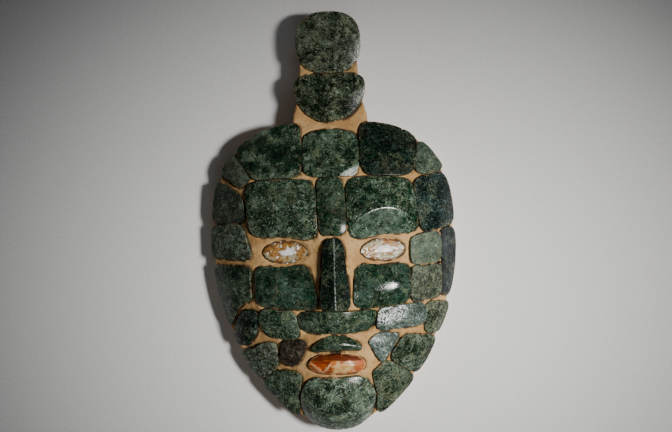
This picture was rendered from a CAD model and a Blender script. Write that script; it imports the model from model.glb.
import math

import bpy
import numpy as np
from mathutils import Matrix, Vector, kdtree, noise
from mathutils.bvhtree import BVHTree
from mathutils.geometry import delaunay_2d_cdt


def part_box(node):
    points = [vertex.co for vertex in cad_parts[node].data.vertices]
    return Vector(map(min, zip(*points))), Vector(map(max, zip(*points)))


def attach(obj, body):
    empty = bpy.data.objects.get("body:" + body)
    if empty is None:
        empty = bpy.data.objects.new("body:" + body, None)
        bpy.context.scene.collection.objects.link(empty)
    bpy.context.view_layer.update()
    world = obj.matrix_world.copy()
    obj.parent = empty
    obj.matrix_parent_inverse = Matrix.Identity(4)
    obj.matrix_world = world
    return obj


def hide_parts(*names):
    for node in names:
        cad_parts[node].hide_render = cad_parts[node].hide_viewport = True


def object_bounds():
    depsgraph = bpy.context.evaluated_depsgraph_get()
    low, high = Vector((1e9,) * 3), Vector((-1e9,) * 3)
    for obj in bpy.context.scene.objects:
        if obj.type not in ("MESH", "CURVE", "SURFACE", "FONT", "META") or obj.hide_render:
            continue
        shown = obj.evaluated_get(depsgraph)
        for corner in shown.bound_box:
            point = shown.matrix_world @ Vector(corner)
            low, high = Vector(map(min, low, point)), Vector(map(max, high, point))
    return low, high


# The jade mosaic mask, dressed: hand-ground stones with their own mottling, shell eyes and a shell
# mouth, and the tan mortar that they are bedded in. Shapes are worked out in millimetres.
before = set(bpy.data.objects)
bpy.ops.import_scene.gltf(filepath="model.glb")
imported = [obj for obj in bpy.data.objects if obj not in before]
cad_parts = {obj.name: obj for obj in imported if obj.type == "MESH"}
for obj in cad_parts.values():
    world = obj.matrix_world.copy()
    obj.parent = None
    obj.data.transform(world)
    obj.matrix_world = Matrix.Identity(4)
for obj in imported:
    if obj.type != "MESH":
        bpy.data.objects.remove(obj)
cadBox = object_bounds()
mm = 0.001
print("frame:", len(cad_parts), "solids")


# Shader maths
class Field:  # a value, vector or colour that a node gives, used in plain expressions
    def __init__(self, finish, socket, kind="value"):
        self.finish, self.socket, self.kind = finish, socket, kind

    def combine(self, operation, first, second):
        node = "ShaderNodeMath" if self.kind == "value" else "ShaderNodeVectorMath"
        made = self.finish.node(node, {"operation": operation}, [first, second])
        made.kind = self.kind
        return made

    def __add__(self, other):
        return self.combine("ADD", self, other)

    def __radd__(self, other):
        return self.combine("ADD", other, self)

    def __sub__(self, other):
        return self.combine("SUBTRACT", self, other)

    def __rsub__(self, other):
        return self.combine("SUBTRACT", other, self)

    def __mul__(self, other):
        return self.combine("MULTIPLY", self, other)

    def __rmul__(self, other):
        return self.combine("MULTIPLY", other, self)

    def step(self, low, high):  # 0 below low, 1 above high, smooth between
        values = {"Value": self, "From Min": low, "From Max": high}
        return self.finish.node("ShaderNodeMapRange", {"interpolation_type": "SMOOTHSTEP"}, values)

    def atLeast(self, other):
        return self.finish.node("ShaderNodeMath", {"operation": "MAXIMUM"}, [self, other])

    def length(self):
        return self.finish.node("ShaderNodeVectorMath", {"operation": "LENGTH"}, [self], output=1)

    def along(self, axis):  # one part of a vector: 0, 1 or 2 for x, y or z
        return self.finish.node("ShaderNodeSeparateXYZ", None, [self], output=axis)


class Finish:  # one procedural material, built up from a base colour
    sockets = {"color": "Base Color", "roughness": "Roughness", "normal": "Normal", "coat": "Coat Weight",
               "coatRoughness": "Coat Roughness", "ior": "IOR"}

    def __init__(self, name, base):
        self.color = base
        self.material = bpy.data.materials.new(name)
        self.material.use_nodes = True
        self.nodes, self.links = self.material.node_tree.nodes, self.material.node_tree.links
        self.surface = self.nodes["Principled BSDF"]

    def node(self, kind, settings=None, values=(), output=0):
        made = self.nodes.new(kind)
        for key, value in (settings or {}).items():
            setattr(made, key, value)
        for key, value in values.items() if isinstance(values, dict) else enumerate(values):
            self.feed(made.inputs[key], value)
        return Field(self, made.outputs[output])

    def feed(self, socket, value):  # a field, a number, a vector or a colour written as "rrggbb"
        if isinstance(value, Field):
            self.links.new(value.socket, socket)
        else:
            socket.default_value = tint(value) if isinstance(value, str) else value

    def place(self, seed=0.0):  # position on the object in millimetres, moved by a seed
        spot = self.node("ShaderNodeTexCoord", output=3)
        spot.kind = "vector"
        return spot * ((1 / mm,) * 3) + (seed * 37.0, seed * -23.0, seed * 11.0)

    def painted(self, layer):  # a value that the mesh carries
        return self.node("ShaderNodeAttribute", {"attribute_name": layer}, output=2)

    def grain(self, spot, size, detail=4.0, roughness=0.6):  # fractal noise, its size in mm
        values = {"Vector": spot, "Scale": 1 / size, "Detail": detail, "Roughness": roughness}
        return self.node("ShaderNodeTexNoise", None, values)

    def bend(self, spot, size, reach):  # shifts positions about, so that patterns flow
        values = {"Vector": spot, "Scale": 1 / size, "Detail": 2.0}
        swirl = self.node("ShaderNodeTexNoise", None, values, output=1)
        swirl.kind = "vector"
        return spot + (swirl - (0.5,) * 3) * ((reach,) * 3)

    def cells(self, spot, size):  # distance from the nearest of scattered points, in cells of a size
        return self.node("ShaderNodeTexVoronoi", None, {"Vector": spot, "Scale": 1 / size})

    def mix(self, factor, first, second):
        values = {0: factor, 6: first, 7: second}
        made = self.node("ShaderNodeMix", {"data_type": "RGBA"}, values, output=2)
        made.kind = "colour"
        return made

    def cover(self, mask, color):  # lays a colour over those before it
        self.color = self.mix(mask, self.color, color)

    def bump(self, height, distance, strength=1.0):
        values = {"Strength": strength, "Distance": distance * mm, "Height": height}
        return self.node("ShaderNodeBump", None, values)

    def use(self, **values):
        for key, value in {"color": self.color, **values}.items():
            self.feed(self.surface.inputs[self.sockets[key]], value)
        return self.material


def tint(code):  # "rrggbb", a colour as the eye sees it, in linear light
    shades = [int(code[at:at + 2], 16) / 255 for at in (0, 2, 4)]
    return tuple(s / 12.92 if s <= 0.04045 else ((s + 0.055) / 1.055) ** 2.4 for s in shades) + (1.0,)


def unlessQuick(full):  # the quick export makes do with fewer points
    return full


# Reading the solids
def readSolid(name):
    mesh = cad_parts[name].data
    mesh.calc_loop_triangles()
    points = np.array([v.co[:] for v in mesh.vertices]) / mm
    faces = np.array([t.vertices[:] for t in mesh.loop_triangles])
    return points, faces


def treeOf(names):  # one solid, or several as one
    firsts = np.cumsum([0] + [len(solids[name][0]) for name in names])
    points = np.concatenate([solids[name][0] for name in names])
    faces = np.concatenate([solids[name][1] + first for name, first in zip(names, firsts)])
    return BVHTree.FromPolygons(points.tolist(), faces.tolist())


solids = {name: readSolid(name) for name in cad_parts}
trees = {name: treeOf([name]) for name in solids}


def unit(vector):
    return vector / np.linalg.norm(vector)


def evened(ring):  # a closed ring of numbers or points, each drawn towards its neighbours
    return 0.5 * ring + 0.25 * (np.roll(ring, 1, axis=0) + np.roll(ring, -1, axis=0))


def lower(a, b, width):  # the lower of two heights, with the crease between them rounded
    share = np.clip(0.5 + 0.5 * (b - a) / width, 0, 1)
    return b + (a - b) * share - width * share * (1 - share)


class Seat:  # a stone's own axes: w out of its face, u and v across it
    def __init__(self, name, deeper=(0.0, 0.0), grind=()):
        points, faces = solids[name]
        corners = points[faces]
        normals = np.cross(corners[:, 1] - corners[:, 0], corners[:, 2] - corners[:, 0]) / 2
        areas = np.linalg.norm(normals, axis=1)
        facing = normals[:, 2] > 0.35 * areas
        self.w = unit(normals[facing].sum(axis=0))
        self.u = unit(np.cross((0, 1, 0), self.w))
        self.v = np.cross(self.w, self.u)
        middles = corners[facing].mean(axis=1)
        self.origin = (middles * areas[facing, None]).sum(axis=0) / areas[facing].sum()
        self.tree = trees[name]
        self.facets = self.findFacets(corners, normals, areas)
        self.fitFace()
        self.creaseWidth = 0.35 if self.fit is None else 0.06  # measured as a height
        self.facets = [(normal - (0, deeper[1], 0), offset - deeper[0]) for normal, offset in self.facets]
        for flat in grind:
            self.grind(*flat)

    def grind(self, leanX, leanY, u, v, depth):  # a flat that leans so many degrees, so deep at a spot
        normal = self.local(unit([math.tan(math.radians(leanX)), math.tan(math.radians(leanY)), 1.0]))
        height = float(self.face(np.array([u]), np.array([v]))[0][0]) - depth
        self.facets.append((normal, normal @ (u, v, height)))

    def local(self, direction):
        return np.array([direction @ self.u, direction @ self.v, direction @ self.w])

    def world(self, u, v, w):
        across = np.multiply.outer(u, self.u) + np.multiply.outer(v, self.v)
        return self.origin + across + np.multiply.outer(w, self.w)

    def drop(self, u, v):  # the height of the solid's face under a point, or None beside it
        start = Vector(self.world(u, v, 40.0))
        hit = self.tree.ray_cast(start, Vector(-self.w))[0]
        return None if hit is None else 40.0 - (start - hit).length

    def findFacets(self, corners, normals, areas):  # the flats that were ground on it
        groups = {}
        for corner, normal, area in zip(corners, normals, areas):
            if area < 1e-6:
                continue
            out = normal / area
            local = self.local(out)
            key = tuple(np.round(local, 2)) + (round(float(out @ corner[0]), 0),)
            groups.setdefault(key, []).append((area, local, out @ (corner[0] - self.origin)))
        found = []
        for members in groups.values():
            area = sum(m[0] for m in members)
            if len(members) >= 4 and area > 30 and members[0][1][2] > 0.6:  # broad, and facing out
                normal = sum(m[0] * m[1] for m in members) / area
                found.append((normal, sum(m[0] * m[2] for m in members) / area))
        return found

    def flats(self, u, v):
        return [(offset - normal[0] * u - normal[1] * v) / normal[2] for normal, offset in self.facets]

    def terms(self, u, v):  # of a cubic
        a, b = u / 20, v / 20
        return np.stack([a ** i * b ** j for i in range(4) for j in range(4 - i)], axis=-1)

    def fitFace(self):  # a smooth cubic through the solid's face
        samples = []
        for angle in np.linspace(0, 2 * np.pi, 24, endpoint=False):
            reach = self.edgeAt(angle)
            for share in (0.1, 0.25, 0.4, 0.55, 0.7, 0.8, 0.88):
                u, v = reach * share * math.cos(angle), reach * share * math.sin(angle)
                w = self.drop(u, v)
                if w is not None and all(abs(w - flat) > 0.04 for flat in self.flats(u, v)):
                    samples.append((u, v, w))
        self.fit = None
        if len(samples) > 45:
            u, v, w = np.array(samples).T
            self.fit = np.linalg.lstsq(self.terms(u, v), w, rcond=None)[0]

    def edgeAt(self, angle):  # how far the solid reaches from the origin, across its face
        near, far = 0.0, 45.0
        for _ in range(14):
            middle = (near + far) / 2
            if self.drop(middle * math.cos(angle), middle * math.sin(angle)) is None:
                far = middle
            else:
                near = middle
        return near

    def face(self, u, v):  # the height of the face, where it lies on a ground flat and where flats meet
        uncut = self.terms(u, v) @ self.fit if self.fit is not None else np.full(np.shape(u), 99.0)
        height, ground, crease = uncut, np.zeros(np.shape(u)), np.zeros(np.shape(u))
        for flat in self.flats(u, v):
            crease = np.maximum(crease, np.exp(-((height - flat) / self.creaseWidth) ** 2))
            height = lower(height, flat, 0.2)
            ground = np.maximum(ground, np.clip((uncut - flat) / 0.1, 0, 1))
        return height, ground, crease


def twofold(spot, size, finer, share):  # noise of one size and a share of a finer one
    return noise.noise(spot / size) + share * noise.noise(spot / finer)


def roundNoise(angles, seed, waves):  # smooth noise round a closed ring, about -1 to 1
    spots = [Vector((waves * math.cos(a), waves * math.sin(a), seed)) for a in angles]
    return np.array([noise.noise(spot) for spot in spots]) * 1.6


def makeMesh(name, points, faces, layers=None):
    mesh = bpy.data.meshes.new(name)
    mesh.from_pydata((np.asarray(points) * mm).tolist(), [], faces)
    for layer, values in (layers or {}).items():
        made = mesh.attributes.new(layer, "FLOAT", "POINT")
        made.data.foreach_set("value", np.asarray(values, dtype=np.float32))
    mesh.polygons.foreach_set("use_smooth", [True] * len(mesh.polygons))
    mesh.validate()
    return mesh


def inScene(name, data):
    made = bpy.data.objects.new(name, data)
    bpy.context.scene.collection.objects.link(made)
    return made


def addPiece(name, mesh, material, node):
    piece = inScene(name, mesh)
    mesh.materials.append(material)
    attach(piece, "root")
    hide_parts(node)


# Stones
cutting = {
    "around": 180,  # points round a stone
    "inner": 24,  # rings across its face
    "edge": 6,  # rings over its rounded edge
    "edgeWidth": 0.36, "edgeDrop": 0.45, "edgeVary": 0.55,
    "joint": 0.3, "growMost": 0.6,  # stones are ground to meet this closely, by growing at most so far
    "free": 1.4,  # further than this from the next stone, an edge is free
    "round": 30, "roundJoint": 0.35,  # rounds of smoothing at free corners, and their share at joints
    "roundLeast": 0.5, "roundVary": 4.8,  # how much stones differ in it
    "handCut": 0.07,  # how far the outline wanders inwards
    "waver": 0.09, "waverSize": 10.0,  # undulation of the polished face
    "tilt": 1.6, "height": 0.2,  # how unevenly the stones are set, in degrees and mm
    "thickness": 4.8,
}
rimPoints = []  # points on the stones' upper edges, which the mortar follows


def outlineOf(node, seat, seed):  # the solid's outline, grown into its joints and rounded at its corners
    count = unlessQuick(cutting["around"])
    angles = np.linspace(0, 2 * np.pi, count, endpoint=False)
    reach = evened(np.array([seat.edgeAt(a) for a in angles]))
    others = treeOf([name for name in solids if name not in ("backing", node)])
    inset, farthest = 0.01, 5.0  # gaps are measured from just inside the edge, up to so many mm
    gaps = []
    for a, b in zip((1 - inset) * reach * np.cos(angles), (1 - inset) * reach * np.sin(angles)):
        away = others.find_nearest(Vector(seat.world(a, b, seat.drop(a, b) or 0.0)), farthest)[3]
        gaps.append(farthest if away is None else away)
    gaps = np.array(gaps) - inset * reach
    free = np.clip(gaps - cutting["free"], 0, 1)
    grow = np.clip((gaps - cutting["joint"]) / 2, 0, cutting["growMost"]) * (1 - free)
    for _ in range(count // 45):
        free = np.maximum(free, np.maximum(np.roll(free, 1), np.roll(free, -1)))
        grow = evened(grow)
    outline = (reach + grow)[:, None] * np.stack([np.cos(angles), np.sin(angles)], axis=1)
    rounded = cutting["roundLeast"] + cutting["roundVary"] * noise.noise(Vector((seed, 0.3, 0.7))) ** 2
    pull = np.clip(rounded * (cutting["roundJoint"] + (1 - cutting["roundJoint"]) * free), 0, 1)[:, None]
    for _ in range(int(cutting["round"] * (count / cutting["around"]) ** 2)):
        outline += pull * (evened(outline) - outline)
    u, v = outline.T
    return np.arctan2(v, u), np.hypot(u, v)


def handCut(angles, reach, seed, rough):  # the outline as cut by hand, and the width and fall of its edge
    wander = 0.6 * roundNoise(angles, seed, 2.6) + 0.4 * roundNoise(angles, seed + 9, 8.0)
    nicks = np.clip(roundNoise(angles, seed + 33, 11.0) - 0.62, 0, 1) * rough
    reach = reach - cutting["handCut"] * rough * (0.9 + wander) - 1.1 * nicks
    uneven = cutting["edgeVary"] * rough * roundNoise(angles, seed + 21, 3.1)
    vary = np.clip(1 + uneven + 3 * nicks, 0.4, 3)
    return reach, cutting["edgeWidth"] * vary, cutting["edgeDrop"] * vary


def stoneRings(reach, width, fall, thickness, inner):  # reach, depth below the face and share of the rim
    around = len(reach)
    sides = ((0.93, thickness), (0.955, thickness - 0.7), (0.97, 0.6 * thickness), (0.985, 0.3 * thickness))
    rings = [(reach * share, np.full(around, depth), 1.0) for share, depth in sides]
    rimRing = len(rings) + cutting["edge"] // 2
    for step in range(cutting["edge"]):
        turn = 0.5 * math.pi * step / cutting["edge"]
        rings.append((reach - width * (1 - math.cos(turn)), fall * (1 - math.sin(turn)), 1.0))
    for step in range(inner):
        share = (1 - step / inner) ** 0.85
        rings.append(((reach - width) * share, np.zeros(around), 1 - min(1, step / 2)))
    return rings, rimRing


def ringFaces(rings, around):  # faces between rings, and to a point below and a point above them
    faces, pairs = [], [(k, (k + 1) % around) for k in range(around)]
    for ring in range(rings - 1):
        a, b = ring * around, (ring + 1) * around
        faces += [(a + k, a + after, b + after, b + k) for k, after in pairs]
    last, below, above = (rings - 1) * around, rings * around, rings * around + 1
    faces += [(below, after, k) for k, after in pairs]
    return faces + [(above, last + k, last + after) for k, after in pairs]


def wavered(points, direction, seed, rough):  # the slight undulation of a face that was polished by hand
    size, moved = cutting["waverSize"], Vector((seed, 0, 0))
    broad = np.array([noise.noise(Vector(p) / size + moved) for p in points])
    fine = np.array([noise.noise(Vector(p) / (0.3 * size)) for p in points])
    return points + np.multiply.outer((broad + 0.35 * fine) * cutting["waver"] * rough, direction)


def cutStone(node, seed, thickness=cutting["thickness"], rough=1.0, tilt=None, inner=cutting["inner"],
             deeper=(0.0, 0.0), grind=(), relief=None):
    seat = Seat(node, deeper, grind)
    angles, reach = outlineOf(node, seat, seed)
    reach, width, fall = handCut(angles, reach, seed, rough)
    rings, rimRing = stoneRings(reach, width, fall, thickness, inner)
    chance = [2 * noise.noise(Vector(at)) for at in ((seed, 0.5, 0.5), (0.5, seed, 0.5), (0.5, 0.5, seed))]
    tilt = tilt or [cutting["tilt"] * part for part in chance[:2]]
    leanU, leanV = (math.tan(math.radians(angle)) for angle in tilt)
    settle = cutting["height"] * chance[2]

    def surface(u, v, share):  # the face of the stone as it is set, with its relief
        height, ground, crease = seat.face(u, v)
        height = height + u * leanU + v * leanV + settle
        return height + (relief(u, v, share) if relief else 0), ground, crease

    points, values = [], []
    for distance, depth, onRim in rings:
        u, v = distance * np.cos(angles), distance * np.sin(angles)
        height, ground, crease = surface(u, v, np.clip(distance / reach, 0, 1))
        points.append(seat.world(u, v, height - depth))
        values.append((np.full(len(u), onRim), ground, crease * (1 - onRim)))
    rimPoints.extend((*point, node) for point in points[rimRing])
    top = float(surface(*np.zeros((3, 1)))[0][0])
    points.append(seat.world(np.zeros(2), np.zeros(2), np.array([top - thickness, top])))
    values.append(((1.0, 0.0), (0.0, 0.0), (0.0, 0.0)))
    layers = dict(zip(("rim", "ground", "crease"), map(np.concatenate, zip(*values))))
    every = wavered(np.concatenate(points), seat.w, seed, rough)
    return makeMesh(node, every, ringFaces(len(rings), len(angles)), layers)


greens = {  # dark spots, base, mottling and flecks of each kind of jade
    "moss": ("071006", "233020", "62705a", "97a08b"),
    "forest": ("051309", "1d3021", "556955", "8b9d8a"),
    "deep": ("05130a", "1c3122", "4f614f", "859380"),
    "teal": ("04110a", "192e20", "3e5549", "788f7e"),
    "night": ("020603", "101e16", "2c3c33", "65766b"),
    "smoky": ("0b140c", "28312a", "4f5e4e", "828f7f"),
    "grey": ("0e190f", "2e3b2d", "596655", "8a9585"),
    "pale": ("202d24", "425144", "616f5e", "8a9684"),
    "olive": ("1a2117", "3a4436", "646e5a", "90967f"),
    "mist": ("212e29", "475650", "76887f", "b4c0b9"),
    "blue": ("030b09", "0f1d1a", "32433f", "697c7a"),
    "slate": ("161b19", "293030", "42494a", "686f6d"),
    "bark": ("0c0804", "201a12", "453c2f", "6e6456"),
}
greenness = {  # how much emerald shows in each kind
    "moss": 0.4, "forest": 0.7, "deep": 0.6, "teal": 0.6, "night": 0.4, "smoky": 0.35, "grey": 0.35,
    "pale": 0.15, "olive": 0.15, "mist": 0.2, "blue": 0.2, "slate": 0.0, "bark": 0.0,
}
minerals = {
    "emerald": "0b3a24", "moss": "7b7d58", "earth": "3f382b", "rust": "574b3c",
    "bruise": "a9b8a6",  # along the meeting of two flats
    "dust": "b08d5c",  # mortar rubbed into the edges
}


def covering(noiseField, part, soft=0.018):  # covers about this part of a surface with blotches of a noise
    level = 0.5 + 0.22 * (0.5 - part)
    return noiseField.step(level - soft, level + soft)


def jade(name, kind, mottle, spots, seed, flecks=0.1, rust=0.1, size=2.8, cloud=0.25, gloss=0.13, ior=1.44,
         uneven=0.1, patchy=0.0, ground=None):
    black, base, light, pale = greens[kind]
    finish = Finish(name, base)
    spot = finish.place(seed)
    bent = finish.bend(finish.bend(spot, 9.0, 3.0), 2.6, 0.9)
    drift = (finish.grain(bent, 9.0, 2.0, 0.5) - 0.5) * cloud
    worn = finish.grain(spot, 2.0, 4.0, 0.65)

    def blotches(shift, coarse, fine):  # coarse and fine noise together
        moved = bent + shift
        return 0.5 * finish.grain(moved, coarse, 5.0, 0.68) + 0.5 * finish.grain(moved, fine, 3.0, 0.62)

    def region(shift, across, low, high):  # broad, soft patches
        return finish.grain(bent + shift, across, 3.0, 0.6).step(low, high)

    under = finish.grain(bent + (0.0, 17.0, 0.0), 1.6 * size, 5.0, 0.62)
    light = finish.mix(region((0.0, 5.0, 43.0), 7.0, 0.48, 0.6) * 0.4, light, minerals["moss"])
    finish.cover(region((13.0, 5.0, 0.0), 4.5, 0.47, 0.58) * greenness[kind], minerals["emerald"])
    finish.cover(covering(under + drift, mottle, 0.08) * 0.4, light)
    finish.cover(covering(blotches((0.0, 53.0, 0.0), size, 1.0) + drift, mottle), light)
    finish.cover(region((19.0, 0.0, 23.0), 10.0, 0.5, 0.62) * (0.1 + rust), minerals["earth"])
    strength = 0.93
    if ground:  # a ground flat shows a lighter face
        flat = finish.painted("ground")
        finish.cover(flat * under.step(0.38, 0.6) * 0.8, ground)
        strength = strength - 0.4 * flat
    finish.cover(covering(blotches((0.0, 29.0, 9.0), 2.0, 0.9), rust) * 0.55, minerals["rust"])
    dark = covering(blotches((31.0, 0.0, 0.0), 0.8 * size, 0.9) - 0.6 * drift, spots)
    finish.cover(dark * strength, black)
    bright = covering(blotches((0.0, 0.0, 71.0), size, 0.8) + 0.6 * drift, flecks)
    finish.cover(bright * 0.95, pale)
    finish.cover(finish.painted("crease") * worn.step(0.42, 0.56) * 0.55, minerals["bruise"])
    caught = finish.grain(spot, 7.0, 4.0, 0.7).step(0.5, 0.6)
    rubbed = finish.painted("rim") * caught * worn.step(0.44, 0.56)
    finish.cover(rubbed * 0.35, minerals["dust"])
    pits = (1 - finish.cells(spot, 1.5).step(0.02, 0.2)) * finish.grain(spot, 4.0, 2.0).step(0.46, 0.6)
    height = 0.5 * finish.grain(spot, 0.8, 3.0, 0.6) + 0.5 * worn - 0.7 * pits
    roughness = gloss + 0.14 * worn + 0.25 * pits + 0.2 * rubbed + patchy * dark
    return finish.use(roughness=roughness, normal=finish.bump(height, uneven, 0.8), ior=ior)


# How a stone's polish differs from the usual one
dull = {"gloss": 0.6, "ior": 1.3}
waxy = {"ior": 1.3}

# Each stone: its kind of jade, how much of it is mottled, how much is spotted, and what else differs
stoneLooks = {
    "topknot_upper": ("moss", 0.52, 0.4, {"flecks": 0.15, "rust": 0.2, "size": 3.2, "uneven": 0.2}),
    "topknot_lower": ("moss", 0.38, 0.48, {"rust": 0.15, "uneven": 0.2, **waxy}),
    "forehead_corner_left": ("smoky", 0.5, 0.25, {"rust": 0.25, **dull}),
    "forehead_left": ("deep", 0.36, 0.27, {"flecks": 0.14, "cloud": 0.6}),
    "forehead_centre": ("forest", 0.45, 0.35, {"cloud": 0.35, "ground": "5b6d5f", "uneven": 0.16}),
    "forehead_right": ("night", 0.3, 0.4, {"flecks": 0.03, "size": 2.2}),
    "forehead_corner_right": ("pale", 0.4, 0.33, waxy),
    "temple_upper_left": ("smoky", 0.25, 0.33, {"rust": 0.25, **dull}),
    "brow_left": ("forest", 0.45, 0.36, {"flecks": 0.17, "rust": 0.15}),
    "glabella": ("deep", 0.38, 0.3, {"flecks": 0.05, "rust": 0.2, **waxy}),
    "brow_right": ("forest", 0.3, 0.4, {"gloss": 0.05, "ground": "5f7163"}),
    "temple_upper_right": ("blue", 0.4, 0.45, {"size": 1.3, **waxy}),
    "temple_lower_left": ("smoky", 0.62, 0.42, {"flecks": 0.3, "rust": 0.2, **dull}),
    "nose": ("night", 0.3, 0.45, {"flecks": 0.04, "gloss": 0.12}),
    "temple_lower_right": ("pale", 0.5, 0.22, {"size": 3.8, **dull}),
    "cheek_edge_right": ("slate", 0.4, 0.3, {"rust": 0.0, **dull}),
    "cheek_outer_left": ("deep", 0.4, 0.33, {"flecks": 0.2, **waxy}),
    "cheek_left": ("teal", 0.36, 0.28, {"flecks": 0.06, "size": 3.4, "cloud": 0.3}),
    "cheek_right": ("teal", 0.3, 0.33, {"flecks": 0.05, "size": 3.4, "gloss": 0.05, "uneven": 0.14}),
    "cheek_outer_right": ("olive", 0.45, 0.4, dull),
    "jaw_edge_left": ("night", 0.45, 0.45, {"flecks": 0.25, **waxy}),
    "lower_cheek_left": ("forest", 0.48, 0.34, {"flecks": 0.16, "size": 2.0, "cloud": 0.2}),
    "nose_base": ("deep", 0.42, 0.3, {"size": 3.2, "ground": "2c3f33"}),
    "lower_cheek_right": ("mist", 0.35, 0.45, {"rust": 0.0, "size": 2.0, "gloss": 0.11, "uneven": 0.25,
                                               "patchy": 0.7}),
    "lower_cheek_corner_right": ("olive", 0.5, 0.42, waxy),
    "lower_side_left": ("grey", 0.56, 0.46, {"flecks": 0.3, **waxy}),
    "cheek_inner_left": ("bark", 0.4, 0.56, {"flecks": 0.15, "rust": 0.2, **dull}),
    "upper_lip": ("deep", 0.4, 0.3, {"flecks": 0.06, "uneven": 0.22}),
    "cheek_inner_right": ("mist", 0.35, 0.42, {"rust": 0.0, "gloss": 0.2, "uneven": 0.2, "patchy": 0.4}),
    "lower_side_right": ("grey", 0.5, 0.4, {"flecks": 0.14, **waxy}),
    "jaw_left": ("deep", 0.5, 0.4, {"flecks": 0.2, **waxy}),
    "chin": ("forest", 0.5, 0.44, {"flecks": 0.26, "size": 3.8, "gloss": 0.08, "uneven": 0.2,
                                   "patchy": 0.12}),
    "jaw_right": ("grey", 0.5, 0.37, waxy),
}
stoneCuts = {  # what differs from the usual cut
    "topknot_upper": {"thickness": 5.8, "tilt": (4.5, 0.0)},
    "topknot_lower": {"thickness": 5.8, "tilt": (4.0, -0.5)},
    "forehead_centre": {"inner": 60, "grind": [(13.5, 2.0, 11.5, -9.5, 0.27)]},
    "brow_right": {"tilt": (2.5, 2.0), "inner": 60, "deeper": (0.15, 0.11)},
    "nose": {"thickness": 8.0, "rough": 0.6, "tilt": (-4.0, 0.0), "inner": 60},
    "cheek_right": {"tilt": (2.0, -2.5)},
    "lower_cheek_right": {"tilt": (1.0, -5.0), "inner": 60, "rough": 1.5,
                          "grind": [(16.5, -7.0, -4.0, -1.5, 0.5)]},
    "chin": {"tilt": (0.0, 2.0)},
    "forehead_corner_right": {"tilt": (1.0, -3.0)},
    "cheek_inner_right": {"tilt": (0.0, -4.0)},
    "glabella": {"tilt": (4.0, 0.0)},
    "cheek_inner_left": {"rough": 1.8},
}

for count, (node, (kind, mottle, spots, more)) in enumerate(stoneLooks.items()):
    mesh = cutStone(node, seed=3.7 * count + 1.3, **stoneCuts.get(node, {}))
    addPiece("stone_" + node, mesh, jade("jade_" + node, kind, mottle, spots, count + 1.0, **more), node)
print("stones:", len(stoneLooks))


# Shell eyes and mouth
shellEyes = {
    "gold": "9c6420", "amber": "cf953c", "brown": "4a230b", "cream": "b4aa88", "chalk": "fffdf8",
    "rough": 2.2, "flake": 0.35, "lace": 1.9,
    "halfWidth": 13.5, "halfHeight": 5.8,
}


def flaked(seed):  # layers that have come away
    def relief(u, v, share):
        spots = [Vector((a / 5.5, b / 4.0, seed)) for a, b in zip(np.ravel(u), np.ravel(v))]
        layer = np.array([noise.noise(spot) for spot in spots]).reshape(np.shape(u))
        return -shellEyes["flake"] * np.clip((layer + 0.1) * 9, 0, 1) * np.clip(share * 3, 0, 1)
    return relief


def shellOfEye(name, seed, middle):
    finish = Finish(name, shellEyes["cream"])
    spot = finish.place(seed)
    bent = finish.bend(finish.bend(spot, 4.0, 3.0), 1.2, 1.0)
    layers = finish.grain(bent, 6.0, 3.0, 0.5)
    fine = finish.grain(bent, 1.3, 4.0, 0.65)
    golden = layers.step(0.44, 0.5)
    finish.cover(golden * 0.9, finish.mix(fine.step(0.44, 0.58), shellEyes["gold"], shellEyes["amber"]))
    values = {"Vector": bent, "Scale": 1 / shellEyes["lace"]}
    edges = finish.node("ShaderNodeTexVoronoi", {"feature": "DISTANCE_TO_EDGE"}, values)
    lace = 1 - edges.step(0.02, 0.1)
    finish.cover(lace * (0.25 + 0.65 * golden) * fine.step(0.4, 0.5), shellEyes["brown"])
    crumbs = finish.grain(bent + (7.0, 0.0, 0.0), 2.2, 4.0, 0.6).step(0.6, 0.63)
    shape = (1 / shellEyes["halfWidth"], 1 / shellEyes["halfHeight"], 0.0)
    ragged = 0.5 * (finish.grain(spot, 2.0, 4.0) - 0.5)
    out = ((finish.place() - middle) * shape).length() + ragged
    finish.cover(out.step(0.86, 1.0) * 0.7, shellEyes["brown"])
    glint = ((finish.place() - middle - (2.0, 0.3, 0.0)) * shape).length()
    glint = glint + 1.3 * (finish.grain(spot, 3.0, 5.0, 0.65) - 0.5)
    chalky = (1 - glint.step(0.36, 0.39)).atLeast(crumbs)
    finish.cover(chalky, shellEyes["chalk"])
    height = layers + 0.3 * golden - 0.4 * lace + 0.4 * chalky
    return finish.use(roughness=0.3 + 0.2 * chalky, normal=finish.bump(height, 0.25, 0.8),
                      coat=0.15, coatRoughness=0.15, ior=1.5)


def middleOf(node):
    return sum((Vector(corner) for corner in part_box(node)), Vector()) / (2 * mm)


for side, seed in (("left", 5.0), ("right", 11.0)):
    node = "eye_" + side
    mesh = cutStone(node, seed=seed, thickness=3.0, rough=shellEyes["rough"], tilt=(0.0, 0.0),
                    relief=flaked(seed))
    addPiece("shell_" + node, mesh, shellOfEye("shell_" + node, seed, middleOf(node)), node)

shellMouth = {
    "blood": "4a1206", "red": "862a0b", "orange": "c25a17",
    "amber": "d8933a", "cream": "dfb583", "pearl": "dccb92", "rose": "b3664c",
    "partDepth": 0.4, "partWidth": 0.9, "bow": 0.55,
    "chip": [(-14.8, 1.5), (-8.6, -4.3), (-3.0, 2.3)],  # corners of the facet where a corner has broken off
    "worn": [(-1.6, -4.0), (9.0, -3.5), (8.2, 0.4), (-0.8, 1.2)],  # and of one that is worn to the pearl
    "facetDepth": 0.7, "bevel": 1.0,
}


def beyond(x, y, corners, larger):  # how far out of a facet a point lies, in mm
    out = None
    for (x1, y1), (x2, y2) in zip(corners, corners[1:] + corners[:1]):
        length = math.hypot(x2 - x1, y2 - y1)
        away = (x - x1) * ((y2 - y1) / length) - (y - y1) * ((x2 - x1) / length)
        out = away if out is None else larger(out, away)
    return out


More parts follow.
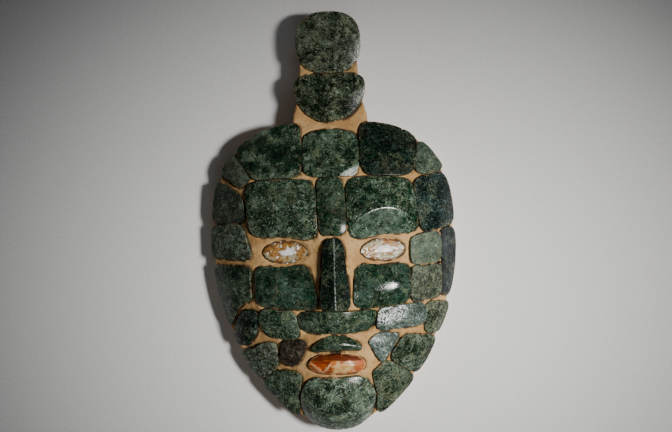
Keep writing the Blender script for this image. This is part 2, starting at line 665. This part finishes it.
def lipRelief(u, v, share):  # a shallow parting along the middle, and the two facets
    line = 0.4 + shellMouth["bow"] * np.cos(u / 5.6) * np.exp(-(u / 13) ** 2)
    fade = np.clip(1.25 - share * 1.15, 0, 1)
    parting = shellMouth["partDepth"] * fade * np.exp(-((v - line) / shellMouth["partWidth"]) ** 2)
    for facet, part in (("chip", 1.0), ("worn", 0.5)):
        inside = np.clip(-beyond(u, v, shellMouth[facet], np.maximum) / 0.8, 0, 1)
        parting = np.maximum(parting, shellMouth["facetDepth"] * part * inside)
    return -parting


def shellOfMouth(middle):
    finish, shade = Finish("shell_mouth", shellMouth["red"]), shellMouth
    spot = finish.place(4.0)
    here = finish.bend(finish.bend(finish.place() - middle, 4.0, 3.0), 1.2, 0.9)
    x, y = here.along(0), here.along(1)
    streaks = finish.grain(finish.bend(spot, 6.0, 3.0) * (0.35, 2.4, 1.0), 1.8, 4.0, 0.6)
    bands = finish.grain(finish.bend(spot, 8.0, 5.0) * (0.6, 1.3, 1.0), 4.2, 4.0, 0.55)
    fine = finish.grain(spot * (0.5, 3.0, 1.0), 1.2, 3.0, 0.6)
    ragged = 9.0 * (finish.grain(finish.bend(spot, 5.0, 4.0), 3.5, 4.0, 0.6) - 0.5)
    broad = bands.step(0.42, 0.58)
    finish.cover(broad, shade["orange"])
    finish.cover(streaks.step(0.5, 0.6) * 0.8, shade["amber"])
    finish.cover(x.step(6.0, 10.0) * broad * 0.5, shade["rose"])
    worn = 1 - (beyond(x, y, shade["worn"], Field.atLeast) + ragged).step(-0.8, 2.0)
    bare = finish.mix(bands.step(0.44, 0.54), shade["amber"], shade["cream"])
    finish.cover(worn * 0.85, finish.mix(streaks.step(0.46, 0.56), bare, shade["pearl"]))
    finish.cover((y + 2.0 * (streaks - 0.5)).step(1.5, 2.8) * 0.85, shade["blood"])
    chip = beyond(x, y, shade["chip"], Field.atLeast) + 0.2 * ragged
    inChip = 1 - chip.step(-0.3, 0.1)
    depth = (y + 3.0 * (streaks - 0.5)).step(-2.6, 2.4)
    finish.cover(inChip, finish.mix(depth, shade["orange"], shade["red"]))
    finish.cover(inChip * streaks.step(0.52, 0.6) * 0.5, shade["blood"])
    bevel = chip.step(-0.3, 0.4) * (1 - chip.step(0.8 * shade["bevel"], 1.8 * shade["bevel"]))
    finish.cover(bevel * (1 - (y + 0.3 * ragged).step(0.0, 2.0)) * 0.8, shade["cream"])
    rim = finish.painted("rim")
    finish.cover(rim * bands.step(0.48, 0.54) * 0.5, shade["cream"])
    finish.cover(rim * (1 - bands.step(0.4, 0.46)) * 0.7, shade["blood"])
    height = 0.7 * streaks + 0.3 * fine
    return finish.use(roughness=0.26 + 0.16 * fine, normal=finish.bump(height, 0.15, 0.6),
                      coat=0.2, coatRoughness=0.1, ior=1.5)


mesh = cutStone("mouth", seed=2.2, thickness=4.6, rough=1.6, tilt=(0.0, 0.0), inner=60, relief=lipRelief)
addPiece("shell_mouth", mesh, shellOfMouth(middleOf("mouth")), "mouth")
print("shells: 3")


# Mortar
mortar = {
    "cell": 0.5,  # of the height maps
    "rimLevel": 3.0, "hollowLevel": 1.5,  # where the outlines of the face and the hollow are read
    "underStones": 260, "everywhere": 14,  # rounds of evening out the top
    "fine": 0.46, "coarse": 3.2, "under": 1.7,  # spacing of points where it shows, under stones, inside
    "jitter": 0.18, "shownUnder": 1.1,  # of the spacing, and how far in under a stone's edge it shows
    "edge": 0.75, "wallRows": 14,  # spacing of points round the outline, and rows down the side
    "slit": 2.6,  # deeper drops in the solids' top are the slits beside the stones
    "inset": 1.0, "insetVary": 0.7,  # how far the rim's stones stand out over it
    "roundEdge": 1.2,
    "below": 0.85, "hidden": 1.2,  # kept under the stones' upper edges, and lowered behind them
    "lip": 0.5, "lipReach": 0.7,  # where it has crept up the stones' sides
    "sunk": 0.3,
    "lumps": 0.3, "lumpSize": 5.0, "grit": 0.09, "gritSize": 1.0,
    "cracks": 2.0, "crackWidth": 0.85, "joint": 2.1,  # open joints: depth, width and how wide they may be
    "trowel": 0.35,  # depth of the strokes inside
}
tongue = {  # places along it and half widths of it, in plan
    "root": 50.0, "halfRoot": 26.0,  # still within the face
    "free": 63.0, "level": 12.0,  # from here its sides are read, at this height
    "foot": (80, 110), "halfFoot": 8,  # where its underside is read
}
faceMiddle = Vector((0.0, -17.5))


def met(tree, x, y, height, way):  # where a level ray meets a solid, in plan
    hit = tree.ray_cast(Vector((x, y, height)), Vector((*way, 0)))[0]
    return hit.x, hit.y


def raysRound(tree, height, count, start):  # an outline met by rays about the middle of the face
    loop = []
    for k in range(count):
        out = Vector((math.cos(2 * math.pi * k / count), math.sin(2 * math.pi * k / count)))
        loop.append(met(tree, *(faceMiddle + start * out), height, -out if start else out))
    return loop


def tongueOutline(tree, top):
    level = tongue["level"]
    ys = np.arange(tongue["free"], top - 3, 1.0)
    right, left = ([met(tree, 60 * way, y, level, (-way, 0)) for y in ys] for way in (1, -1))
    across = np.linspace(right[-1][0] - 1, left[-1][0] + 1, 24)
    tip = [met(tree, x, top + 20, level, (0, -1)) for x in across]
    root = [(left[0][0], tongue["root"]), (right[0][0], tongue["root"])]
    return root + right + tip + left[::-1]


def resample(loop, spacing, smooth):
    loop = np.array(loop)
    closed = np.vstack([loop, loop[:1]])
    lengths = np.concatenate([[0], np.cumsum(np.linalg.norm(np.diff(closed, axis=0), axis=1))])
    at = np.linspace(0, lengths[-1], int(lengths[-1] / spacing), endpoint=False)
    even = np.stack([np.interp(at, lengths, closed[:, k]) for k in (0, 1)], axis=1)
    for _ in range(smooth):
        even = evened(even)
    return even


def triangles(points, outlines):  # the triangles inside the outlines, given as lists of point numbers
    edges = [(loop[k - 1], loop[k]) for loop in outlines for k in range(len(loop))]
    points = [Vector(p) for p in points]
    flat, _, made, source, _, owners = delaunay_2d_cdt(points, edges, outlines, 1, 1e-6, True)
    return flat, [tuple(face) for face, owner in zip(made, owners) if owner], source


def unionLoop(first, second):  # the outline round two overlapping outlines
    outlines = [list(range(len(first))), list(range(len(first), len(first) + len(second)))]
    flat, made, _ = triangles(list(first) + list(second), outlines)
    edges = {(f[k], f[(k + 1) % len(f)]) for f in made for k in range(len(f))}
    follows = {a: b for a, b in edges if (b, a) not in edges}
    start = next(iter(follows))
    loop, at = [tuple(flat[start])], follows[start]
    while at != start:
        loop.append(tuple(flat[at]))
        at = follows[at]
    return loop


def insideOf(loop):  # a test for points inside an outline
    x1, y1 = np.asarray(loop).T
    x2, y2 = np.roll(x1, -1), np.roll(y1, -1)
    rise = np.where(y2 == y1, 1e-9, y2 - y1)

    def inside(x, y):
        spans = (y1 > y) != (y2 > y)
        return bool(np.count_nonzero(spans & (x < x1 + (y - y1) * (x2 - x1) / rise)) % 2)
    return inside


class Nearest:  # finds the nearest of some points in plan
    def __init__(self, points):
        self.points = points
        self.tree = kdtree.KDTree(len(points))
        for k, p in enumerate(points):
            self.tree.insert((p[0], p[1], 0), k)
        self.tree.balance()

    def __call__(self, x, y):  # its number and how far away it is
        return self.tree.find((x, y, 0))[1:]

    def ofAnother(self, x, y, index):  # how far away the nearest one is that belongs to another stone
        for _, k, away in self.tree.find_n((x, y, 0), 48):
            if self.points[k][3] != self.points[index][3]:
                return away
        return 9.0


class HeightMap:  # heights on a square grid over the plan
    def __init__(self, low, high, step, margin=3.0):
        self.low, self.step = low[:2] - margin, step
        self.xs, self.ys = (np.arange(low[k] - margin, high[k] + margin, step) for k in (0, 1))
        self.z = np.full((len(self.xs), len(self.ys)), np.nan)

    def cast(self, tree, fromZ, way):
        hits = np.full(self.z.shape, -1)
        for i, x in enumerate(self.xs):
            for j, y in enumerate(self.ys):
                hit, _, index, _ = tree.ray_cast(Vector((x, y, fromZ)), Vector((0, 0, way)))
                if hit is not None:
                    self.z[i, j], hits[i, j] = hit.z, index
        return hits

    def around(self, a):
        b = np.pad(a, 1, mode="edge")
        return b[:-2, 1:-1] + b[2:, 1:-1] + b[1:-1, :-2] + b[1:-1, 2:]

    def fill(self):  # grows the known heights into the unknown
        while np.isnan(self.z).any():
            empty = np.isnan(self.z)
            count = self.around((~empty).astype(float))
            total = self.around(np.where(empty, 0, self.z))
            self.z = np.where(empty & (count > 0), total / np.maximum(count, 1e-9), self.z)

    def relax(self, mask, rounds):  # evens out the masked heights and keeps the others
        for _ in range(rounds):
            self.z = np.where(mask, self.around(self.z) / 4, self.z)

    def at(self, points):
        g = (np.asarray(points) - self.low) / self.step
        i = np.clip(g[:, 0].astype(int), 0, self.z.shape[0] - 2)
        j = np.clip(g[:, 1].astype(int), 0, self.z.shape[1] - 2)
        a, b = np.clip(g[:, 0] - i, 0, 1), np.clip(g[:, 1] - j, 0, 1)
        near = self.z[i, j] * (1 - a) + self.z[i + 1, j] * a
        return near * (1 - b) + (self.z[i, j + 1] * (1 - a) + self.z[i + 1, j + 1] * a) * b


def staggered(low, high, spacing):  # rows of points over the plan
    for row, y in enumerate(np.arange(low[1], high[1], spacing * 0.866)):
        for x in np.arange(low[0], high[0], spacing) + (0.5 * spacing if row % 2 else 0):
            yield x, y


def mortarHeights(every, backingFaces, low, high):  # the mortar's top, evened out under the stones
    cell = unlessQuick(mortar["cell"])
    top = HeightMap(low, high, cell)
    hits = top.cast(every, 90.0, -1)
    onMortar, onStone = (hits >= 0) & (hits < backingFaces), hits >= backingFaces
    z = np.where(onMortar, top.z, -np.inf)
    highest, reach = z.copy(), int(round(1.5 / cell))
    for i in range(-reach, reach + 1):
        for j in range(-reach, reach + 1):
            highest = np.maximum(highest, np.roll(np.roll(z, i, 0), j, 1))
    known = onMortar & (top.z > highest - mortar["slit"])
    top.z = np.where(known, top.z, np.where(onStone, top.z - mortar["slit"], np.nan))
    top.fill()
    top.relax(~known, unlessQuick(mortar["underStones"]))
    top.relax(np.ones_like(known), int(mortar["everywhere"] * (mortar["cell"] / cell) ** 2) + 2)
    return top


def scattered(edge, every, backingFaces, low, high):  # points over the plan, close where mortar shows
    inside, edgeNear, rimNear = insideOf(edge), Nearest(edge), Nearest(rimPoints)
    fine = unlessQuick(mortar["fine"])
    random, jitter = np.random.default_rng(7), mortar["jitter"]
    loose, bare = [], [True] * len(edge)
    for spacing, wantShown in ((fine, True), (mortar["coarse"], False)):
        for x, y in staggered(low, high, spacing):
            x += random.uniform(-jitter, jitter) * spacing
            y += random.uniform(-jitter, jitter) * spacing
            hit, _, index, _ = every.ray_cast(Vector((x, y, 90)), Vector((0, 0, -1)))
            if hit is None:
                continue
            covered = index >= backingFaces
            shown = not covered or rimNear(x, y)[1] < mortar["shownUnder"]
            if shown == wantShown and edgeNear(x, y)[1] > 0.55 * min(spacing, 0.8) and inside(x, y):
                loose.append((x, y))
                bare.append(not covered)
    return np.vstack([edge, np.array(loose)]), bare


def smear(spot, away):  # how far the mortar stands over its level, so far from a stone's edge
    lip = mortar["lip"] * math.exp(-away / mortar["lipReach"]) * (0.35 + 2.0 * noise.noise(spot / 5))
    lumps = mortar["lumps"] * twofold(spot, mortar["lumpSize"], 0.4 * mortar["lumpSize"], 0.5)
    grit = mortar["grit"] * twofold(spot, mortar["gritSize"], 0.45 * mortar["gritSize"], 0.6)
    return lip - mortar["sunk"] + lumps + grit


def crackAt(spot, away, across):  # 0 to 1, from the distances to the stones on either side
    broken = min(1, max(0, 0.75 + 1.8 * noise.noise(spot / 4 + Vector((9, 0, 0)))))
    narrow = min(1, max(0, mortar["joint"] - away - across))
    return broken * max(math.exp(-(away / mortar["crackWidth"]) ** 2), 0.9 * narrow)


def mortarTop(edge, every, backingFaces, low, high):
    top = mortarHeights(every, backingFaces, low, high)
    print("mortar: heights")
    edgeNear, rimNear = Nearest(edge), Nearest(rimPoints)
    flat, bare = scattered(edge, every, backingFaces, low, high)
    z = top.at(flat)
    slopes = [(top.at(flat + way) - top.at(flat - way)) / 2 for way in np.eye(2)]
    steep = np.sqrt(1 + slopes[0] ** 2 + slopes[1] ** 2)
    cracks = np.zeros(len(flat))
    for k, (x, y) in enumerate(flat):
        index, away = rimNear(x, y)
        spot = Vector((x, y, z[k]))
        cracks[k] = crackAt(spot, away, rimNear.ofAnother(x, y, index))
        rise = smear(spot, away) - mortar["cracks"] * cracks[k]
        level = z[k] + rise * steep[k] if bare[k] else z[k] - mortar["hidden"]
        if away < 4:
            level = min(level, rimPoints[index][2] - mortar["below"] + 0.9 * max(0, away - 0.5))
        border = edgeNear(x, y)[1] if k >= len(edge) else 0.0
        curl = mortar["roundEdge"]
        if border < curl:
            level -= curl - math.sqrt(max(0, curl ** 2 - (curl - border) ** 2))
        z[k] = level
    return flat, z, cracks


def mortarUnder(edge, face, inner, backing, low, high):  # the rim, the hollow and the foot of the tongue
    under = HeightMap(low, high, 1.0)
    under.cast(backing, -20.0, 1)
    inHollow, inFace, inside = insideOf(inner), insideOf(face), insideOf(edge)
    hollow = np.array([[inHollow(x, y) for y in under.ys] for x in under.xs])
    start, end = tongue["foot"]
    underTongue = (np.abs(under.xs)[:, None] < tongue["halfFoot"]) & (under.ys > start) & (under.ys < end)
    foot = float(np.median(under.z[underTongue]))
    deep = HeightMap(low, high, 1.0)
    deep.z = np.where(hollow, under.z, np.nan)
    deep.fill()
    deep.relax(np.ones_like(hollow), 40)
    edgeNear = Nearest(edge)
    spacing = unlessQuick(mortar["under"])
    middle = np.array(faceMiddle)
    points = []
    edges = ((inner, 0.3, "rim"), (inner, -0.3, "hollow"), (face, -0.3, "rim"), (face, 0.3, "foot"))
    for loop, out, kind in edges:
        for p in resample(loop, 0.8 * spacing, 0):
            q = p + out * unit(p - middle)
            atTongue = abs(q[0]) < tongue["halfRoot"] - 4 and q[1] > tongue["root"] - 10
            if edgeNear(*q)[1] > 0.5 and inside(*q) and (loop is inner or atTongue):
                points.append((q[0], q[1], kind))
    ringNear = Nearest(points)
    for x, y in staggered(low, high, spacing):
        if inside(x, y) and edgeNear(x, y)[1] > 0.5 * spacing and ringNear(x, y)[1] > 0.45 * spacing:
            points.append((x, y, "hollow" if inHollow(x, y) else "rim" if inFace(x, y) else "foot"))
    depths = deep.at([p[:2] for p in points])
    z = [0.0 if inFace(*(middle + 0.985 * (p - middle))) or p[1] < tongue["root"] else foot for p in edge]
    for (x, y, kind), depth in zip(points, depths):
        strokes = noise.noise(Vector((x / 14, y / 5, 3))) + 0.45 * noise.noise(Vector((x / 2.5, y / 2.5, 8)))
        strokes *= mortar["trowel"]
        z.append({"rim": 0.0, "foot": foot + 0.3 * abs(strokes), "hollow": depth + strokes}[kind])
    return np.vstack([edge, np.array([p[:2] for p in points])]), np.array(z)


def outwardOf(loop):  # directions out of a closed outline
    tangent = np.roll(loop, -1, axis=0) - np.roll(loop, 1, axis=0)
    outward = np.stack([tangent[:, 1], -tangent[:, 0]], axis=1)
    return outward / np.linalg.norm(outward, axis=1)[:, None]


def pullIn(loop):  # the outline set back a little and unevenly, less so round the tongue
    spots = [Vector((x, y, 0)) for x, y in loop]
    shift = Vector((0, 0, 4))
    waves = [noise.noise(spot / 7 + shift) + 0.5 * noise.noise(spot / 2.5 + shift) for spot in spots]
    beyondRoot = np.clip((loop[:, 1] - tongue["root"]) / 10, 0, 1)
    onFace = 1 - 0.8 * beyondRoot * (np.abs(loop[:, 0]) < tongue["halfRoot"])
    inset = onFace * (mortar["inset"] + mortar["insetVary"] * np.array(waves))
    return loop - outwardOf(loop) * inset[:, None]


def sheet(flat, heights, count):  # points, triangles, numbers of the outline's points, where each is from
    plan, faces, source = triangles(flat, [list(range(count))])
    origin = [s[0] for s in source]
    place = {k: at for at, k in enumerate(origin)}
    points = [(p[0], p[1], heights[k]) for p, k in zip(plan, origin)]
    return points, faces, [place[k] for k in range(count)], origin


def makeMortar():
    backing = trees["backing"]
    low, high = (np.array(corner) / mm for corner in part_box("backing"))
    face = raysRound(backing, mortar["rimLevel"], 480, 120.0)
    inner = raysRound(backing, mortar["hollowLevel"], 300, 0.0)
    edge = resample(unionLoop(face, tongueOutline(backing, high[1])), unlessQuick(mortar["edge"]), 5)
    edge = pullIn(edge)
    count = len(edge)
    every = treeOf(["backing"] + [name for name in solids if name != "backing"])

    flat, z, cracks = mortarTop(edge, every, len(solids["backing"][1]), low, high)
    points, faces, topRing, origin = sheet(flat, z, count)
    crackLayer = [cracks[k] for k in origin]
    print("mortar: top", len(points))

    below, underFaces, underRing, _ = sheet(*mortarUnder(edge, face, inner, backing, low, high), count)
    base = len(points)
    points += below
    faces += [tuple(base + k for k in reversed(f)) for f in underFaces]
    underRing = [base + k for k in underRing]
    print("mortar: underside", len(below))

    outward = outwardOf(edge)
    rings = [topRing]
    wallRows = unlessQuick(mortar["wallRows"])
    for row in range(1, wallRows):
        share = row / wallRows
        ring = []
        for k, (x, y) in enumerate(edge):
            height = points[topRing[k]][2] * (1 - share) + points[underRing[k]][2] * share
            spot = Vector((x, y, height))
            swell = 0.35 * (twofold(spot, 7, 2.2, 0.514) - 1) * min(1, 4 * share, 4 * (1 - share))
            ring.append(len(points))
            points.append((x + outward[k][0] * swell, y + outward[k][1] * swell, height))
        rings.append(ring)
    for upper, under in zip(rings, rings[1:] + [underRing]):
        faces += [(upper[k - 1], under[k - 1], under[k], upper[k]) for k in range(count)]
    crackLayer += [0.0] * (len(points) - len(crackLayer))
    return makeMesh("mortar", points, faces, {"crack": crackLayer})


mortarColors = {
    "light": "d2a971", "middle": "b48851", "dark": "805a33", "dust": "dfc08c",
    "pore": "4b3218", "crack": "1c1109",
}


def tanMortar():
    finish, shade = Finish("tan_mortar", mortarColors["middle"]), mortarColors
    spot = finish.place(2.0)
    broad = finish.grain(spot, 16.0, 5.0, 0.6)
    middle = finish.grain(spot, 2.8, 6.0, 0.7)
    fine = finish.grain(spot, 0.6, 4.0, 0.7)
    finish.cover((0.6 * broad + 0.4 * middle).step(0.42, 0.58), shade["light"])
    finish.cover(middle.step(0.54, 0.66) * 0.5, shade["dark"])
    finish.cover(fine.step(0.54, 0.68) * 0.5, shade["dust"])
    pores = (1 - finish.cells(spot, 1.3).step(0.05, 0.22)) * finish.grain(spot, 3.0, 2.0).step(0.5, 0.6)
    finish.cover(pores * 0.6, shade["pore"])
    finish.cover(finish.painted("crack").step(0.25, 0.65) * 0.9, shade["crack"])
    height = 0.5 * middle + 0.5 * fine - 0.8 * pores
    return finish.use(roughness=0.82 + 0.1 * fine, normal=finish.bump(height, 0.3, 0.8), ior=1.45)


addPiece("mortar_bed", makeMortar(), tanMortar(), "backing")


# Floor, light and camera
floorLook = {"color": "f6f6f6", "speck": "ececec", "size": 3.0}


def makeFloor():
    finish = Finish("pale_floor", floorLook["color"])
    grain = finish.grain(finish.place(), 1.4, 3.0, 0.6)
    finish.cover(grain.step(0.4, 0.7), floorLook["speck"])
    half = floorLook["size"] / 2
    mesh = bpy.data.meshes.new("floor")
    corners = [(-half, -half, 0), (half, -half, 0), (half, half, 0), (-half, half, 0)]
    mesh.from_pydata(corners, [], [(0, 1, 2, 3)])
    mesh.materials.append(finish.use(roughness=0.8, normal=finish.bump(grain, 0.05, 0.3)))
    inScene("floor", mesh)


lamps = {  # where each lamp stands and points, how large and how strong it is
    "key": {"at": (0.62, -0.06, 0.90), "to": (0.042, -0.052, 0.0), "size": 0.16, "power": 124.0,
            "color": (1.0, 0.98, 0.95), "cone": 18.0},
    "low": {"at": (0.05, -0.62, 0.60), "to": (0.0, -0.03, 0.0), "size": 0.25, "power": 3.4,
            "color": (0.96, 0.98, 1.0), "cone": 24.0},
}
sky = {"Color": (0.86, 0.9, 0.95, 1.0), "Strength": 0.05}


def makeLights():
    for name, lamp in lamps.items():
        data = bpy.data.lights.new(name, "SPOT")
        data.energy, data.color = lamp["power"], lamp["color"]
        data.shadow_soft_size, data.spot_size, data.spot_blend = lamp["size"], math.radians(lamp["cone"]), 1.0
        light = inScene(name, data)
        light.location = lamp["at"]
        light.rotation_euler = (Vector(lamp["to"]) - Vector(lamp["at"])).to_track_quat("-Z", "Y").to_euler()
    world = bpy.data.worlds.new("studio")
    world.use_nodes = True
    for key, value in sky.items():
        world.node_tree.nodes["Background"].inputs[key].default_value = value
    bpy.context.scene.world = world


view = {  # the photograph's frame, in its pixels
    "width": 672, "middle": (336, 216),
    "objectAt": (333, 221), "objectLength": 420, "roll": 1.7,
    "lens": 85.0, "sensor": 36.0,
}


def makeCamera():
    low, high = cadBox
    perPixel = (high.y - low.y) / view["objectLength"]
    distance = view["lens"] / view["sensor"] * view["width"] * perPixel
    data = bpy.data.cameras.new("camera")
    data.lens, data.sensor_width = view["lens"], view["sensor"]
    camera = inScene("camera", data)
    roll = math.radians(view["roll"])
    right = (view["middle"][0] - view["objectAt"][0]) * perPixel
    up = (view["objectAt"][1] - view["middle"][1]) * perPixel
    x = right * math.cos(roll) + up * math.sin(roll)
    y = -right * math.sin(roll) + up * math.cos(roll)
    camera.location = (x, y, 0.4 * high.z + distance)
    camera.rotation_euler = (0, 0, -roll)
    bpy.context.scene.camera = camera


makeFloor()
makeLights()
makeCamera()
print("stage: floor, lights, camera")
